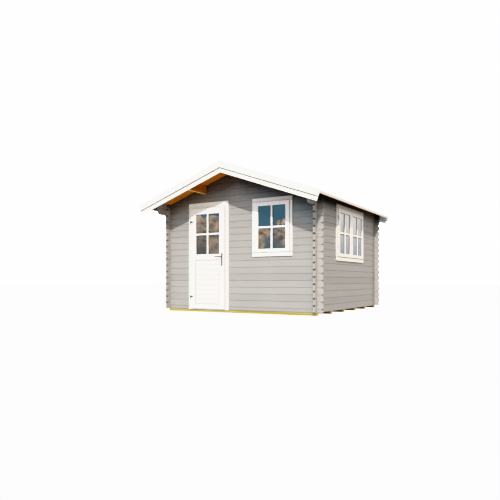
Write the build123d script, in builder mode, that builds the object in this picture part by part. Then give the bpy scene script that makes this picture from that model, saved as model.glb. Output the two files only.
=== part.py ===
from build123d import *
import os
from math import ceil, cos, radians, sin, tan

# Log walls: planed logs stacked on a square plan, outer face to outer face
wall_width = 3000.0
wall_depth = 3000.0
log_thickness = 28.0
log_pitch = 114.0
log_end = 100.0
log_end_bevel = 30.0
log_end_bevel_height = 12.0
log_groove = 6.0
side_courses = 17
front_courses = 16
roof_bevel_drop = 24.0

# Corbels: the two top logs of each side wall run forward under the front overhang
corbel_reach = 330.0
corbel_radius = 58.0
corbel_courses = 2

# Bearers and floor
bearer_width = 60.0
bearer_height = 50.0
bearer_count = 6
floor_thickness = 18.0

# Roof
roof_pitch_deg = 19.3
deck_thickness = 18.0
side_overhang = 230.0
front_overhang = 500.0
purlin_thickness = 50.0
purlin_height = 150.0
purlin_offset = 650.0
eave_board_height = 33.0
eave_board_thickness = 18.0

# Gable trim: a bargeboard on the roof's edge with a narrower cover board nailed over its top
bargeboard_thickness = 20.0
bargeboard_past_eave = 35.0
bargeboard_drop = 141.0
cover_thickness = 20.0
cover_past_eave = 15.0
cover_rise = 34.0
cover_drop = 65.0

# Door frame and stile-and-rail leaf
door_inset = 500.0
door_width = 810.0
casing_thickness = 20.0
casing_lap = 20.0
stop_width = 20.0
door_jamb_face = 58.0
door_head_face = 96.0
door_head_lap = 23.0
leaf_gap = 5.0
leaf_thickness = 40.0
leaf_proud = 30.0
door_stile = 98.0
door_bottom_rail = 73.0
door_middle_rail = 88.0
door_top_rail = 95.0
door_panel_height = 786.0
door_panel_thickness = 20.0
door_panel_boards = 9
door_panel_groove = 3.0
glass_thickness = 4.0

# Hinges: a gudgeon pin on the jamb and a tapered strap on the leaf
knuckle_radius = 8.0
knuckle_height = 46.0
pin_radius = 5.0
pin_clearance = 0.5
strap_length = 50.0
strap_tip_height = 16.0
strap_thickness = 4.0
upper_hinge_drop = 234.0
lower_hinge_rise = 206.0
gudgeon_plate_width = 30.0
gudgeon_plate_height = 44.0
gudgeon_arm_width = 10.0
gudgeon_arm_height = 10.0

# Lever handle on long plates
handle_plate_width = 38.0
handle_plate_height = 226.0
handle_plate_thickness = 5.0
handle_plate_radius = 9.0
handle_plate_rise = 748.0
spindle_radius = 6.0
spindle_rise = 908.0
lever_length = 132.0
lever_height = 18.0
lever_depth = 12.0
lever_standoff = 32.0
lever_rounding = 5.0

# Windows: a cased frame that grips the wall, with sashes set against its stop. The front window
# stands this far right of the middle between the door and the corner
window_shift = 39.0
window_width = 708.0
side_window_width = 1350.0
window_sill_courses = 8
window_head_courses = 16
window_top_lap = 12.0
window_bottom_lap = 50.0
window_jamb_face = 42.0
window_head_face = 64.0
window_sill_face = 66.0
sash_gap = 4.0
sash_stile = 60.0
sash_top_rail = 51.0
sash_bottom_rail = 42.0
sash_thickness = 30.0
sash_seat = 5.0

# Derived levels and places
slope = tan(radians(roof_pitch_deg))
slope_cos = cos(radians(roof_pitch_deg))
slope_sin = sin(radians(roof_pitch_deg))
half_width = wall_width / 2
trim_thickness = bargeboard_thickness + cover_thickness
back_overhang = log_end
total_depth = front_overhang + wall_depth + back_overhang + 2 * trim_thickness
front_y = front_overhang + trim_thickness - total_depth / 2
back_y = front_y + wall_depth
deck_front_y = front_y - front_overhang
deck_length = front_overhang + wall_depth + back_overhang
eave_height = bearer_height + side_courses * log_pitch - roof_bevel_drop
ridge_height = eave_height + half_width * slope
floor_top = bearer_height + floor_thickness

# Wall planes: x along the wall, y up, z outward
front_plane = Plane(origin=(0, front_y, 0), x_dir=(1, 0, 0), z_dir=(0, -1, 0))
back_plane = Plane(origin=(0, back_y - log_thickness, 0), x_dir=(1, 0, 0), z_dir=(0, -1, 0))
right_plane = Plane(origin=(half_width, front_y, 0), x_dir=(0, 1, 0), z_dir=(1, 0, 0))

os.makedirs("parts", exist_ok=True)


def save(piece, node):
    """Name a finished piece and write it to its own file."""
    piece.part.label = node
    export_step(piece.part, f"parts/{node}.step")


def mirrored(piece):
    """The left-hand copy of a right-hand piece."""
    with BuildPart() as copy:
        mirror(piece.part, about=Plane.YZ)
    return copy


def soffit(x):
    """Height of the roof's underside at a distance x from the ridge line."""
    return ridge_height - abs(x) * slope


def side_joint(course):
    """Joint height under a log of the side walls, which start with a whole log."""
    return bearer_height + course * log_pitch


def front_joint(course):
    """Joint height over a log of the front and back walls, which start with a half log."""
    return bearer_height + log_pitch / 2 + course * log_pitch


def side_joints(first, last):
    return [side_joint(course) for course in range(first, last + 1)]


def front_joints(last):
    return [bearer_height] + [front_joint(course) for course in range(last + 1)]


# Log walls

def log_edge(place, joints, depth, height, inward, top=None):
    """Points up one edge of a stack of logs, each log bevelled at both its corners."""
    points = [(place + inward * depth, joints[0])]
    for low, high in zip(joints, joints[1:]):
        points.append((place, low + height))
        points.append((place, high - height))
        points.append((place + inward * depth, high))
    if top is not None:
        points.append((place, joints[-1] + height))
        points.append((place, top))
    return points


def log_ends(place, joints, inward, top=None):
    """The bevelled log ends past a corner."""
    return log_edge(place, joints, log_end_bevel, log_end_bevel_height, inward, top)


def plain_edge(place, joints, top=None):
    """A straight sawn edge over the same height."""
    return [(place, joints[0]), (place, joints[-1] if top is None else top)]


def stack_section(joints, thickness, groove, outer_top=None, inner_top=None):
    """Section of a stack: flat faces with a V-groove at each joint, seen along the wall."""
    outer = log_edge(0, joints, groove, groove, 1, outer_top)
    inner = log_edge(thickness, joints, groove, groove, -1, inner_top)
    return outer + inner[::-1]


def stack(plane, left, right, section, start, end, thickness, notches=(), slots=(), top=()):
    """A stack of logs or boards: its outline in elevation, met with its section run along the wall.
    Notches are the half-lap cuts at the corners, and slots the pockets for the purlins."""
    across = Plane(origin=plane.from_local_coords((start, 0, 0)), x_dir=-plane.z_dir, z_dir=plane.x_dir)
    with BuildPart() as wall:
        with BuildSketch(plane):
            with BuildLine():
                Polyline(*left, *top, *right[::-1], close=True)
            make_face()
            for place in notches:
                with Locations(place):
                    Rectangle(log_thickness, log_pitch / 2, mode=Mode.SUBTRACT)
            for place in slots:
                with Locations(place):
                    Rectangle(
                        purlin_thickness,
                        ridge_height,
                        align=(Align.CENTER, Align.MIN),
                        mode=Mode.SUBTRACT,
                    )
        extrude(amount=-thickness)
        with BuildSketch(across):
            with BuildLine():
                Polyline(*section, close=True)
            make_face()
        extrude(amount=end - start, mode=Mode.INTERSECT)
    return wall


corner = half_width - log_thickness / 2
end_reach = half_width + log_end
back_reach = wall_depth + log_end


def front_piece(plane, start, end, joints):
    """A piece of the front or back wall; an end past the corner is a row of bevelled log ends."""
    left = log_ends(start, joints, 1) if start == -end_reach else plain_edge(start, joints)
    right = log_ends(end, joints, -1) if end == end_reach else plain_edge(end, joints)
    laps = [front_joint(course) for course in range(front_courses + 1)]
    notches = [(x, z) for x in (-corner, corner) if start < x < end for z in laps]
    section = stack_section(joints, log_thickness, log_groove)
    return stack(plane, left, right, section, start, end, log_thickness, notches)


def gable(plane):
    """The gable logs between the side walls, cut to the roof, with pockets for the three purlins."""
    reach = half_width - log_thickness
    courses = ceil((ridge_height - front_joint(front_courses)) / log_pitch)
    joints = [front_joint(front_courses + step) for step in range(courses + 1)]
    left = plain_edge(-reach, joints, soffit(reach))
    right = plain_edge(reach, joints, soffit(reach))
    centre = purlin_offset + purlin_thickness / 2
    low = soffit(purlin_offset) - purlin_height
    slots = [(-centre, low), (0, ridge_height - purlin_height), (centre, low)]
    section = stack_section(joints, log_thickness, log_groove)
    return stack(plane, left, right, section, -reach, reach, log_thickness, (), slots, [(0, ridge_height)])


def side_piece(start, end, joints, bevelled=False, corbel=False):
    """A piece of a side wall, modelled on the right-hand side. A bevelled piece ends under the roof,
    and a corbel's front end has its lower corner rounded."""
    top = eave_height + log_thickness * slope if bevelled else None
    left = log_ends(start, joints, 1, top) if start == -log_end else plain_edge(start, joints, top)
    right = log_ends(end, joints, -1, top) if end == back_reach else plain_edge(end, joints, top)
    corners = (log_thickness / 2, wall_depth - log_thickness / 2)
    laps = side_joints(0, side_courses - 1)
    notches = [(x, z) for x in corners if start < x < end for z in laps]
    outer_top = eave_height if bevelled else None
    section = stack_section(joints, log_thickness, log_groove, outer_top, top)
    piece = stack(right_plane, left, right, section, start, end, log_thickness, notches)
    if not corbel:
        return piece
    with BuildPart() as rounded:
        add(piece.part)
        with BuildSketch(right_plane):
            with Locations((start, joints[0])):
                Rectangle(corbel_radius, corbel_radius, align=(Align.MIN, Align.MIN))
            with Locations((start + corbel_radius, joints[0] + corbel_radius)):
                Circle(corbel_radius, mode=Mode.SUBTRACT)
        extrude(amount=-log_thickness, mode=Mode.SUBTRACT)
    return rounded


# Openings in the front wall
door_left = -half_width + door_inset
door_right = door_left + door_width
door_centre = (door_left + door_right) / 2
door_top = front_joint(front_courses)
window_centre = (door_right + half_width) / 2 + window_shift
window_left = window_centre - window_width / 2
window_right = window_centre + window_width / 2
below_joints = front_joints(window_sill_courses)
beside_joints = [front_joint(course) for course in range(window_sill_courses, front_courses + 1)]

save(front_piece(front_plane, -end_reach, door_left, front_joints(front_courses)), "front_wall_left")
save(front_piece(front_plane, door_right, end_reach, below_joints), "front_wall_below_window")
save(front_piece(front_plane, door_right, window_left, beside_joints), "front_wall_pier")
save(front_piece(front_plane, window_right, end_reach, beside_joints), "front_wall_right")
save(gable(front_plane), "front_gable")

save(front_piece(back_plane, -end_reach, end_reach, front_joints(front_courses)), "back_wall")
save(gable(back_plane), "back_gable")

# Opening in the right-hand wall
side_window_front = (wall_depth - side_window_width) / 2
side_window_back = side_window_front + side_window_width
corbel_course = side_courses - corbel_courses

save(side_piece(-log_end, back_reach, side_joints(0, window_sill_courses)), "right_wall_below_window")
save(
    side_piece(-log_end, side_window_front, side_joints(window_sill_courses, corbel_course)),
    "right_wall_front_pier",
)
save(
    side_piece(side_window_back, back_reach, side_joints(window_sill_courses, window_head_courses)),
    "right_wall_back_pier",
)
corbel_joints = side_joints(corbel_course, window_head_courses)
save(side_piece(-corbel_reach, side_window_front, corbel_joints, corbel=True), "right_wall_corbel")
save(
    side_piece(-corbel_reach, back_reach, side_joints(window_head_courses, side_courses - 1), True),
    "right_wall_top",
)
save(mirrored(side_piece(-log_end, back_reach, side_joints(0, corbel_course))), "left_wall")
save(
    mirrored(side_piece(-corbel_reach, back_reach, side_joints(corbel_course, side_courses - 1), True, True)),
    "left_wall_top",
)

# Bearers under the walls and floor, flush with the front and back walls
with BuildPart() as bearers:
    spacing = (wall_depth - bearer_width) / (bearer_count - 1)
    with Locations((0, (front_y + back_y) / 2, 0)):
        with GridLocations(0, spacing, 1, bearer_count):
            Box(wall_width, bearer_width, bearer_height, align=(Align.CENTER, Align.CENTER, Align.MIN))
save(bearers, "bearers")

with BuildPart() as floor:
    with Locations((0, (front_y + back_y) / 2, bearer_height)):
        Box(
            wall_width - 2 * log_thickness,
            wall_depth - 2 * log_thickness,
            floor_thickness,
            align=(Align.CENTER, Align.CENTER, Align.MIN),
        )
save(floor, "floor")


# Roof: profiles across the building, run from front to back

def run_back(y, length, *outlines):
    """Profiles drawn across the building at y and run back by a length."""
    with BuildPart() as piece:
        with BuildSketch(Plane.XZ.offset(-y)):
            for outline in outlines:
                with BuildLine():
                    Polyline(*outline, close=True)
                make_face()
        extrude(amount=-length)
    return piece


def opposite(outline):
    """The same outline on the left of the ridge."""
    return [(-x, z) for x, z in outline]


purlin_far = purlin_offset + purlin_thickness
purlin_low = soffit(purlin_offset) - purlin_height
side_purlin = [
    (purlin_offset, purlin_low),
    (purlin_far, purlin_low),
    (purlin_far, soffit(purlin_far)),
    (purlin_offset, soffit(purlin_offset)),
]
ridge_edge = purlin_thickness / 2
ridge_purlin = [
    (-ridge_edge, ridge_height - purlin_height),
    (ridge_edge, ridge_height - purlin_height),
    (ridge_edge, soffit(ridge_edge)),
    (0, ridge_height),
    (-ridge_edge, soffit(ridge_edge)),
]
save(run_back(deck_front_y, deck_length, opposite(side_purlin), ridge_purlin, side_purlin), "purlins")

deck_edge = half_width + side_overhang
deck_rise = deck_thickness / slope_cos
deck_right = [
    (0, ridge_height),
    (deck_edge, soffit(deck_edge)),
    (deck_edge, soffit(deck_edge) + deck_rise),
    (0, ridge_height + deck_rise),
]
save(run_back(deck_front_y, deck_length, deck_right), "roof_deck_right")
save(run_back(deck_front_y, deck_length, opposite(deck_right)), "roof_deck_left")

eave_edge = deck_edge + eave_board_thickness
eave_top = soffit(eave_edge) + deck_rise
eave_board = [
    (deck_edge, eave_top - eave_board_height),
    (eave_edge, eave_top - eave_board_height),
    (eave_edge, eave_top),
    (deck_edge, eave_top + eave_board_thickness * slope),
]
save(run_back(deck_front_y, deck_length, eave_board, opposite(eave_board)), "eave_boards")


def gable_board(length, above, below):
    """A board along the right-hand slope, plumb at the ridge and square at the eave."""

    def point(rise):
        return (
            length * slope_cos + rise * slope_sin,
            ridge_height - length * slope_sin + rise * slope_cos,
        )

    return [
        (0, ridge_height - below / slope_cos),
        point(-below),
        point(above),
        (0, ridge_height + above / slope_cos),
    ]


deck_slope_length = deck_edge / slope_cos
bargeboard = gable_board(deck_slope_length + bargeboard_past_eave, deck_thickness, bargeboard_drop)
cover_board = gable_board(deck_slope_length + cover_past_eave, cover_rise, cover_drop)
deck_back_y = deck_front_y + deck_length
gable_trim = {
    "front_bargeboard": (bargeboard, deck_front_y - bargeboard_thickness, bargeboard_thickness),
    "front_cover_board": (cover_board, deck_front_y - trim_thickness, cover_thickness),
    "back_bargeboard": (bargeboard, deck_back_y, bargeboard_thickness),
    "back_cover_board": (cover_board, deck_back_y + bargeboard_thickness, cover_thickness),
}
for trim, (outline, trim_y, thickness) in gable_trim.items():
    save(run_back(trim_y, thickness, outline), f"{trim}_right")
    save(run_back(trim_y, thickness, opposite(outline)), f"{trim}_left")

# Door frame: jambs and head grip the wall between an outer and an inner casing
frame_left = door_left - casing_lap
frame_right = door_right + casing_lap
leaf_side_left = frame_left + door_jamb_face
leaf_side_right = frame_right - door_jamb_face
head_bottom = door_top + door_head_lap - door_head_face
leaf_front = casing_thickness + leaf_proud
leaf_back = leaf_front - leaf_thickness
stop_face = leaf_back - leaf_gap
inner_face = log_thickness + casing_thickness
jamb_half = [
    (frame_left, -casing_thickness),
    (leaf_side_left, -casing_thickness),
    (leaf_side_left, -stop_face),
    (leaf_side_left + stop_width, -stop_face),
    (leaf_side_left + stop_width, inner_face),
    (frame_left, inner_face),
    (frame_left, log_thickness),
    (door_left, log_thickness),
    (door_left, 0),
    (frame_left, 0),
]
other_jamb = [(2 * door_centre - x, depth) for x, depth in jamb_half]

with BuildPart() as door_jambs:
    with BuildSketch(Plane(origin=(0, front_y, floor_top), x_dir=(1, 0, 0), z_dir=(0, 0, 1))):
        for outline in (jamb_half, other_jamb):
            with BuildLine():
                Polyline(*outline, close=True)
            make_face()
    extrude(amount=head_bottom - floor_top)
save(door_jambs, "door_jambs")


def between(plane, left, right, low, high, outer, inner):
    """A plain block on a wall plane, from one depth outside the wall's face to another inside it."""
    with BuildPart() as block:
        with BuildSketch(plane.offset(outer)):
            with Locations((left, low)):
                Rectangle(right - left, high - low, align=(Align.MIN, Align.MIN))
        extrude(amount=-(outer + inner))
    return block


head_top = door_top + door_head_lap
with BuildPart() as door_head:
    add(between(front_plane, frame_left, frame_right, head_bottom, head_top, casing_thickness, 0).part)
    add(between(front_plane, door_left, door_right, head_bottom, door_top, 0, log_thickness).part)
    add(between(front_plane, frame_left, frame_right, head_bottom, head_top, -log_thickness, inner_face).part)
    add(
        between(
            front_plane,
            leaf_side_left + stop_width,
            leaf_side_right - stop_width,
            head_bottom - stop_width,
            head_bottom,
            stop_face,
            inner_face,
        ).part
    )
save(door_head, "door_head")

with BuildPart() as door_sill:
    add(between(front_plane, frame_left, frame_right, bearer_height, floor_top, casing_thickness, 0).part)
    add(between(front_plane, door_left, door_right, bearer_height, floor_top, 0, log_thickness).part)
save(door_sill, "door_sill")

# Door leaf: two stiles and three rails round a boarded panel and a glazed opening
leaf_left = leaf_side_left + leaf_gap
leaf_right = leaf_side_right - leaf_gap
leaf_bottom = floor_top + leaf_gap
leaf_top = head_bottom - leaf_gap
panel_left = leaf_left + door_stile
panel_right = leaf_right - door_stile
panel_bottom = leaf_bottom + door_bottom_rail
panel_top = panel_bottom + door_panel_height
glass_bottom = panel_top + door_middle_rail
glass_top = leaf_top - door_top_rail
lock_x = leaf_right - door_stile / 2
lock_z = leaf_bottom + spindle_rise

with BuildPart() as door_stiles:
    with BuildSketch(front_plane.offset(leaf_front)):
        with Locations((leaf_left, leaf_bottom), (panel_right, leaf_bottom)):
            Rectangle(door_stile, leaf_top - leaf_bottom, align=(Align.MIN, Align.MIN))
        with Locations((lock_x, lock_z)):
            Circle(spindle_radius + 2 * pin_clearance, mode=Mode.SUBTRACT)
    extrude(amount=-leaf_thickness)
save(door_stiles, "door_stiles")

with BuildPart() as door_rails:
    with BuildSketch(front_plane.offset(leaf_front)):
        for low, high in ((leaf_bottom, panel_bottom), (panel_top, glass_bottom), (glass_top, leaf_top)):
            with Locations((panel_left, low)):
                Rectangle(panel_right - panel_left, high - low, align=(Align.MIN, Align.MIN))
    extrude(amount=-leaf_thickness)
save(door_rails, "door_rails")

panel_board = door_panel_height / door_panel_boards
panel_joints = [panel_bottom + board * panel_board for board in range(door_panel_boards + 1)]
panel_depth = leaf_front - (leaf_thickness - door_panel_thickness) / 2
door_panel = stack(
    front_plane.offset(panel_depth),
    plain_edge(panel_left, panel_joints),
    plain_edge(panel_right, panel_joints),
    stack_section(panel_joints, door_panel_thickness, door_panel_groove),
    panel_left,
    panel_right,
    door_panel_thickness,
)
save(door_panel, "door_panel")

glass_front = leaf_front - (leaf_thickness - glass_thickness) / 2
glass_back = glass_thickness - glass_front
save(
    between(front_plane, panel_left, panel_right, glass_bottom, glass_top, glass_front, glass_back),
    "door_glass",
)

# Hinges on the left edge of the leaf
hinge_x = leaf_left - knuckle_radius
hinge_depth = leaf_front + strap_thickness / 2
hinge_levels = (leaf_bottom + lower_hinge_rise, leaf_top - upper_hinge_drop)
bore_radius = pin_radius + pin_clearance
half_knuckle = knuckle_height / 2
strap_tip = hinge_x + knuckle_radius + strap_length

with BuildPart() as door_hinge_straps:
    for level in hinge_levels:
        with BuildSketch(front_plane.offset(leaf_front)):
            with BuildLine():
                Polyline(
                    (hinge_x, level - half_knuckle),
                    (strap_tip, level - strap_tip_height / 2),
                    (strap_tip, level + strap_tip_height / 2),
                    (hinge_x, level + half_knuckle),
                    close=True,
                )
            make_face()
    extrude(amount=strap_thickness)
    for level in hinge_levels:
        with Locations((hinge_x, front_y - hinge_depth, level)):
            Cylinder(knuckle_radius, knuckle_height)
            Cylinder(bore_radius, knuckle_height, mode=Mode.SUBTRACT)
save(door_hinge_straps, "door_hinge_straps")

with BuildPart() as door_hinge_pins:
    for level in hinge_levels:
        arm_top = level - half_knuckle - pin_clearance
        with BuildSketch(front_plane.offset(casing_thickness)):
            with Locations((hinge_x + gudgeon_arm_width / 2, arm_top)):
                Rectangle(gudgeon_plate_width, gudgeon_plate_height, align=(Align.MAX, Align.CENTER))
    extrude(amount=strap_thickness)
    for level in hinge_levels:
        arm_top = level - half_knuckle - pin_clearance
        with BuildSketch(front_plane.offset(casing_thickness)):
            with Locations((hinge_x, arm_top)):
                Rectangle(gudgeon_arm_width, gudgeon_arm_height, align=(Align.CENTER, Align.MAX))
    extrude(amount=hinge_depth - casing_thickness + gudgeon_arm_width / 2)
    for level in hinge_levels:
        arm_top = level - half_knuckle - pin_clearance
        with Locations((hinge_x, front_y - hinge_depth, arm_top)):
            Cylinder(pin_radius, knuckle_height, align=(Align.CENTER, Align.CENTER, Align.MIN))
save(door_hinge_pins, "door_hinge_pins")

# Handle: a long plate on each face of the lock stile, and levers on one spindle
plate_z = leaf_bottom + handle_plate_rise + handle_plate_height / 2
with BuildPart() as door_handle_plates:
    for outer in (leaf_front + handle_plate_thickness, leaf_back):
        with BuildSketch(front_plane.offset(outer)):
            with Locations((lock_x, plate_z)):
                RectangleRounded(handle_plate_width, handle_plate_height, handle_plate_radius)
            with Locations((lock_x, lock_z)):
                Circle(spindle_radius + pin_clearance, mode=Mode.SUBTRACT)
    extrude(amount=-handle_plate_thickness)
save(door_handle_plates, "door_handle_plates")

lever_outer = leaf_front + handle_plate_thickness + lever_standoff
lever_inner = leaf_back - handle_plate_thickness - lever_standoff
with BuildPart() as door_lever:
    for base in (lever_outer, lever_inner - lever_depth):
        with BuildSketch(front_plane.offset(base)):
            with Locations((lock_x + lever_height / 2, lock_z)):
                RectangleRounded(
                    lever_length + lever_height / 2,
                    lever_height,
                    lever_rounding,
                    align=(Align.MAX, Align.CENTER),
                )
    extrude(amount=lever_depth)
    with BuildSketch(front_plane.offset(lever_inner)):
        with Locations((lock_x, lock_z)):
            Circle(spindle_radius)
    extrude(amount=lever_outer - lever_inner)
save(door_lever, "door_lever")


# Windows

def ring(plane, outer, inner, front, back):
    """A rectangular ring on a wall plane between two depths; rectangles are left, right, low, high."""
    with BuildPart() as band:
        with BuildSketch(plane.offset(front)):
            for (left, right, low, high), mode in ((outer, Mode.ADD), (inner, Mode.SUBTRACT)):
                with Locations(((left + right) / 2, (low + high) / 2)):
                    Rectangle(right - left, high - low, mode=mode)
        extrude(amount=-(front - back))
    return band


def window_sizes(left, right, low, high):
    """The casing's outer and inner edges and the stop's inner edge round a cut-out in the wall."""
    casing = (left - casing_lap, right + casing_lap, low - window_bottom_lap, high + window_top_lap)
    rebate = (
        casing[0] + window_jamb_face,
        casing[1] - window_jamb_face,
        casing[2] + window_sill_face,
        casing[3] - window_head_face,
    )
    stop = (rebate[0] + stop_width, rebate[1] - stop_width, rebate[2] + stop_width, rebate[3] - stop_width)
    return casing, rebate, stop


def window_frame(plane, cutout):
    """Outer casing, lining with its stop, and inner casing, joined as one frame that grips the wall."""
    casing, rebate, stop = window_sizes(*cutout)
    with BuildPart() as frame:
        add(ring(plane, casing, rebate, casing_thickness, 0).part)
        add(ring(plane, cutout, stop, 0, -log_thickness).part)
        add(ring(plane, casing, stop, -log_thickness, -inner_face).part)
        add(ring(plane, rebate, stop, sash_seat, 0).part)
    return frame


def sash_outlines(cutout, count):
    """Outer and inner edges of each of the sashes that share one frame."""
    left, right, low, high = window_sizes(*cutout)[1]
    width = (right - left - (count + 1) * sash_gap) / count
    outlines = []
    for number in range(count):
        start = left + sash_gap + number * (width + sash_gap)
        outer = (start, start + width, low + sash_gap, high - sash_gap)
        inner = (
            outer[0] + sash_stile,
            outer[1] - sash_stile,
            outer[2] + sash_bottom_rail,
            outer[3] - sash_top_rail,
        )
        outlines.append((outer, inner))
    return outlines


def window_sashes(plane, cutout, count):
    with BuildPart() as sashes:
        for outer, inner in sash_outlines(cutout, count):
            add(ring(plane, outer, inner, sash_seat + sash_thickness, sash_seat).part)
    return sashes


def window_glass(plane, cutout, count):
    pane_front = sash_seat + (sash_thickness + glass_thickness) / 2
    with BuildPart() as panes:
        for outer, inner in sash_outlines(cutout, count):
            add(between(plane, *inner, pane_front, glass_thickness - pane_front).part)
    return panes


front_cutout = (window_left, window_right, front_joint(window_sill_courses), front_joint(window_head_courses))
side_cutout = (
    side_window_front,
    side_window_back,
    side_joint(window_sill_courses),
    side_joint(window_head_courses),
)
save(window_frame(front_plane, front_cutout), "front_window_frame")
save(window_sashes(front_plane, front_cutout, 1), "front_window_sash")
save(window_glass(front_plane, front_cutout, 1), "front_window_glass")
save(window_frame(right_plane, side_cutout), "side_window_frame")
save(window_sashes(right_plane, side_cutout, 2), "side_window_sashes")
save(window_glass(right_plane, side_cutout, 2), "side_window_glass")
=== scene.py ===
from math import atan, cos, pi, radians, sin

import bmesh
import bpy
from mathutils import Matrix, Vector


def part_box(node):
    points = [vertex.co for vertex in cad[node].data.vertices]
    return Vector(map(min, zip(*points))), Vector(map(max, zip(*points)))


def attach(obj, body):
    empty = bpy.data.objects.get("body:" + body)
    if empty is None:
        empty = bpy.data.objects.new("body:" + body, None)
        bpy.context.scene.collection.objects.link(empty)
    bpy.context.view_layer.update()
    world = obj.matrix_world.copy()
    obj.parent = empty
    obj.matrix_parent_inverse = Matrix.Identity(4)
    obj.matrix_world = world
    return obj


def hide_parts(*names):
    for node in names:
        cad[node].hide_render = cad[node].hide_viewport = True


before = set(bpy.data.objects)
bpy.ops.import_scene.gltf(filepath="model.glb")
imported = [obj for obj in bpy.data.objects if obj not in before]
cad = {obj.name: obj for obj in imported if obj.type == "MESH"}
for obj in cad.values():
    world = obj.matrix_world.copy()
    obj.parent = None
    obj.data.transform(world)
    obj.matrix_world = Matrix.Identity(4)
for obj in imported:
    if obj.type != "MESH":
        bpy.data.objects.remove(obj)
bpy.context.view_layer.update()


# Bearers
# Six sawn battens lie on the ground across the shed and carry its walls and floor.
# They are spruce, pressure treated to a greenish yellow, with the grain along their length.

class Wire:
    """One socket of a node tree; arithmetic on it adds Math nodes to that tree."""

    def __init__(self, tree, socket):
        self.tree = tree
        self.socket = socket

    def node(self, kind, sockets, output=0, **settings):
        """Add a node: its settings come first, then the values or wires of its sockets."""
        made = self.tree.nodes.new(kind)
        for name, value in settings.items():
            setattr(made, name, value)
        for key, value in sockets.items():
            if isinstance(value, Wire):
                self.tree.links.new(value.socket, made.inputs[key])
            else:
                made.inputs[key].default_value = value
        return Wire(self.tree, made.outputs[output])

    def other(self, output):
        """Another output of the node that this wire comes from."""
        return Wire(self.tree, self.socket.node.outputs[output])

    def axes(self):
        """The x, y and z of a vector."""
        x = self.node("ShaderNodeSeparateXYZ", {0: self})
        return x, x.other(1), x.other(2)

    def calc(self, operation, first, second):
        """A Math node on two values or wires."""
        return self.node("ShaderNodeMath", {0: first, 1: second}, operation=operation)

    def most(self, other):
        """The larger of two values."""
        return self.calc("MAXIMUM", self, other)

    def __add__(self, value):
        return self.calc("ADD", self, value)

    __radd__ = __add__

    def __sub__(self, value):
        return self.calc("SUBTRACT", self, value)

    def __rsub__(self, value):
        return self.calc("SUBTRACT", value, self)

    def __mul__(self, value):
        return self.calc("MULTIPLY", self, value)

    __rmul__ = __mul__

    def __truediv__(self, value):
        return self.calc("DIVIDE", self, value)

    def __gt__(self, value):
        return self.calc("GREATER_THAN", self, value)

    def __lt__(self, value):
        return self.calc("LESS_THAN", self, value)

    def __mod__(self, value):
        return self.calc("FLOORED_MODULO", self, value)

    def __abs__(self):
        return self.calc("ABSOLUTE", self, 0.0)


def srgb(red, green, blue):
    """A linear colour from the 0 to 255 values that a colour chart gives."""
    shares = [value / 255 for value in (red, green, blue)]
    return tuple(s / 12.92 if s <= 0.04045 else ((s + 0.055) / 1.055) ** 2.4 for s in shares) + (1.0,)


def new_finish(name):
    """A new material, with its shader and the wire of the object's own coordinates in metres."""
    material = bpy.data.materials.new(name)
    material.use_nodes = True
    tree = material.node_tree
    shader = tree.nodes["Principled BSDF"]
    place = Wire(tree, tree.nodes.new("ShaderNodeTexCoord").outputs["Object"])
    return material, shader, place


def feed(shader, socket, wire):
    """Join a wire to one of the shader's sockets."""
    wire.tree.links.new(wire.socket, shader.inputs[socket])


def blend(share, low, high):
    """A colour between two others, by a share from 0 to 1."""
    return share.node("ShaderNodeMix", {0: share, 6: low, 7: high}, 2, data_type="RGBA")


def spread(value, low, high, to_low=0.0, to_high=1.0):
    """A value moved from one range to another, and held inside it."""
    sockets = {0: value, 1: low, 2: high, 3: to_low, 4: to_high}
    return value.node("ShaderNodeMapRange", sockets)


def noise(place, scale, detail=3.0, roughness=0.55):
    """Noise, in features a metre: one number for all axes, or one for each."""
    each = scale if isinstance(scale, tuple) else (scale, scale, scale)
    moved = place.node("ShaderNodeMapping", {"Vector": place, "Scale": each})
    sockets = {"Vector": moved, "Scale": 1.0, "Detail": detail, "Roughness": roughness}
    return moved.node("ShaderNodeTexNoise", sockets)


def turned(scale, along):
    """A scale given as (along the grain, across it, across it), put in order for a grain axis."""
    ordered = [scale[1], scale[2], scale[2]]
    ordered["XYZ".index(along)] = scale[0]
    return tuple(ordered)


def bump(shader, height, strength, distance):
    """Relief from a height wire on the shader's Normal."""
    sockets = {"Height": height, "Strength": strength, "Distance": distance}
    feed(shader, "Normal", height.node("ShaderNodeBump", sockets))


def knots(place, scale, strength):
    """Scattered knots, drawn out along the grain: a share that is highest in the middle of each."""
    stretched = place.node("ShaderNodeMapping", {"Vector": place, "Scale": scale})
    cells = stretched.node("ShaderNodeTexVoronoi", {"Vector": stretched, "Scale": 1.0})
    return spread(cells, 0.05, 0.11, strength, 0.0)


def timber(name, along, dark, light, knot, roughness=0.62):
    """Bare or stained timber: broad year-ring bands, fine pores and scattered knots along one axis."""
    material, shader, place = new_finish(name)
    bands = noise(place, turned((0.7, 34.0, 34.0), along), 4.0, 0.6)
    pores = noise(place, turned((9.0, 420.0, 420.0), along), 2.0, 0.7)
    colour = blend(spread(bands, 0.36, 0.66), dark, light)
    colour = blend(spread(pores, 0.55, 0.8, 0.0, 0.35), colour, dark)
    colour = blend(knots(place, turned((1.6, 7.0, 7.0), along), 0.75), colour, knot)
    feed(shader, "Base Color", colour)
    feed(shader, "Roughness", spread(pores, 0.3, 0.8, roughness - 0.08, roughness + 0.12))
    bump(shader, bands * 0.6 + pores * 0.4, 0.35, 0.0012)
    return material


def repaint(material, *names):
    """Give CAD nodes a finish in place of the plain one they came with."""
    for name in names:
        slots = cad[name].data.materials
        slots.clear()
        slots.append(material)


def painted(material):
    """A material's shader, and the wire that colours it so far."""
    tree = material.node_tree
    shader = tree.nodes["Principled BSDF"]
    return shader, Wire(tree, shader.inputs["Base Color"].links[0].from_socket)


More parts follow.
